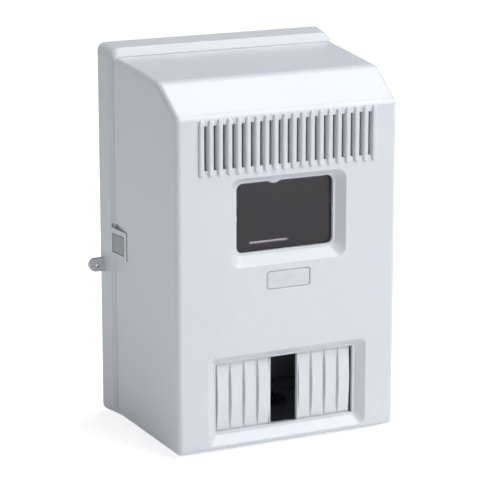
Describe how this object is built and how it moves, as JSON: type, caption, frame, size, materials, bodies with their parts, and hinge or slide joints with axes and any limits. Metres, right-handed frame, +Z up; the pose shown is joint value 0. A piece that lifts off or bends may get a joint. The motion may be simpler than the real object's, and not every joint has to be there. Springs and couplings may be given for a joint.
{
  "type": "meter and breaker wall box",
  "caption": "Pale grey plastic wall box for an electricity meter and a row of breakers: back tray, pull-off hooded cover with vents, clear meter window and sliding blanking plates.",
  "frame": {"origin": "centre of the flat back face, the face that lies on the wall", "axes": "+X right and +Z up for someone facing the box, +Y into the wall; the cover comes off along -Y"},
  "size_m": [0.1748, 0.1129, 0.2393],
  "materials": {
    "shell_plastic": "satin moulded, pale cool grey",
    "cover_plastic": "satin moulded, pale cool grey",
    "blank_plastic": "satin moulded, pale cool grey",
    "name_plate_plastic": "satin moulded",
    "inner_plastic": "matte moulded",
    "clear_pane": "clear plastic pane",
    "zinc_steel": "zinc plated",
    "terminal_plastic": "matte moulded, blue",
    "terminal_brass": "plain brass",
    "grommet_rubber": "matte rubber"
  },
  "bodies": {
    "base": {"base_box": "shell_plastic", "din_rail": "zinc_steel", "rail_bracket_left": "zinc_steel", "rail_bracket_right": "zinc_steel", "bracket_screw_left": "zinc_steel", "bracket_screw_right": "zinc_steel", "rail_screw_left": "zinc_steel", "rail_screw_right": "zinc_steel", "terminal_holder": "terminal_plastic", "neutral_bar": "terminal_brass", "earth_bar": "terminal_brass", "neutral_screw_1": "zinc_steel", "neutral_screw_2": "zinc_steel", "neutral_screw_3": "zinc_steel", "neutral_screw_4": "zinc_steel", "earth_screw_1": "zinc_steel", "earth_screw_2": "zinc_steel", "earth_screw_3": "zinc_steel", "earth_screw_4": "zinc_steel", "cable_entry_plate": "cover_plastic", "grommet_left": "grommet_rubber", "grommet_right": "grommet_rubber"},
    "cover": {"cover": "cover_plastic", "name_plate": "name_plate_plastic", "window_pane": "clear_pane", "pane_frame": "inner_plastic", "blank_guide_frame": "inner_plastic"},
    "blank_left": {"blanking_plate_left": "blank_plastic"},
    "blank_right": {"blanking_plate_right": "blank_plastic"},
    "arm_left": {"snap_arm_left": "shell_plastic"},
    "arm_right": {"snap_arm_right": "shell_plastic"}
  },
  "joints": [
    {"name": "cover_off", "type": "slide", "parent": "base", "child": "cover", "axis": [0, -1, 0], "range_m": [0, 0.16]},
    {"name": "blank_left_slide", "type": "slide", "parent": "cover", "child": "blank_left", "axis": [1, 0, 0], "range_m": [0, 0.0086]},
    {"name": "blank_right_slide", "type": "slide", "parent": "cover", "child": "blank_right", "axis": [1, 0, 0], "range_m": [-0.0086, 0.0004]},
    {"name": "arm_left_flex", "type": "hinge", "parent": "base", "child": "arm_left", "pos_m": [-0.0767, -0.0176, -0.0032], "axis": [0, 0, -1], "range_deg": [0, 6], "stiffness_Nm_per_rad": 0.3},
    {"name": "arm_right_flex", "type": "hinge", "parent": "base", "child": "arm_right", "pos_m": [0.0767, -0.0176, -0.0032], "axis": [0, 0, 1], "range_deg": [0, 6], "stiffness_Nm_per_rad": 0.3}
  ]
}
